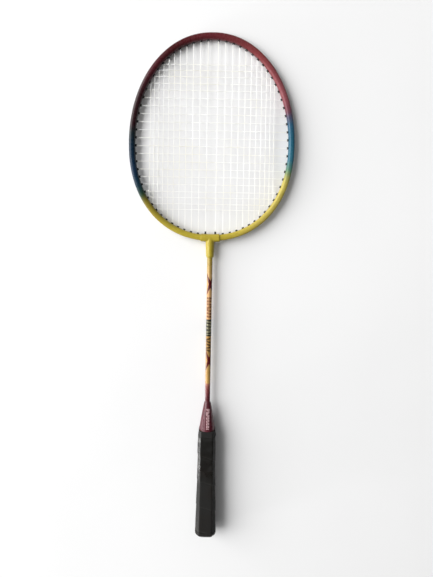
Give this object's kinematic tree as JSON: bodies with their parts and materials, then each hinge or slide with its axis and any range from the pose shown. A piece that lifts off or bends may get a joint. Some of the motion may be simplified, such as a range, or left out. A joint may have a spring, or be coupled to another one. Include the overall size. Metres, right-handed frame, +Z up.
{
  "type": "badminton racket",
  "caption": "Strung badminton racket: hollow oval hoop with grommets and a woven string bed, external T-joint, slim tubular shaft, tapered cone cap and taped octagonal handle.",
  "frame": {"origin": "under the middle of the racket's bounding box, on the surface that the butt cap's underside rests on", "axes": "+Y from the butt of the handle to the top of the head, +Z up, square to the string bed, +X across the head"},
  "size_m": [0.205, 0.67, 0.0274],
  "materials": {
    "frame_paint": "gloss paint in burgundy, blue and yellow fields",
    "yellow_paint": "gloss yellow paint",
    "shaft_paint": "gloss paint with printed bands",
    "spigot_plastic": "plain moulded",
    "grommet_plastic": "satin black",
    "string_nylon": "smooth white nylon",
    "cone_plastic": "gloss burgundy",
    "wood": "plain planed",
    "grip_tape": "matt black synthetic leather",
    "band_tape": "ribbed black tape",
    "cap_plastic": "satin black"
  },
  "bodies": {
    "root": {"head_frame": "frame_paint", "t_joint": "yellow_paint", "joint_spigot": "spigot_plastic", "t_grommet_right": "grommet_plastic", "t_grommet_left": "grommet_plastic", "grommet_strip_right_1": "grommet_plastic", "grommet_strip_right_2": "grommet_plastic", "grommet_strip_right_3": "grommet_plastic", "grommet_strip_right_4": "grommet_plastic", "grommet_strip_right_5": "grommet_plastic", "grommet_strip_left_1": "grommet_plastic", "grommet_strip_left_2": "grommet_plastic", "grommet_strip_left_3": "grommet_plastic", "grommet_strip_left_4": "grommet_plastic", "grommet_strip_left_5": "grommet_plastic", "main_string": "string_nylon", "cross_string": "string_nylon", "shaft": "shaft_paint", "cone_cap": "cone_plastic", "handle_core": "wood", "grip_wrap": "grip_tape", "grip_finishing_band": "band_tape", "butt_cap": "cap_plastic"}
  },
  "joints": []
}
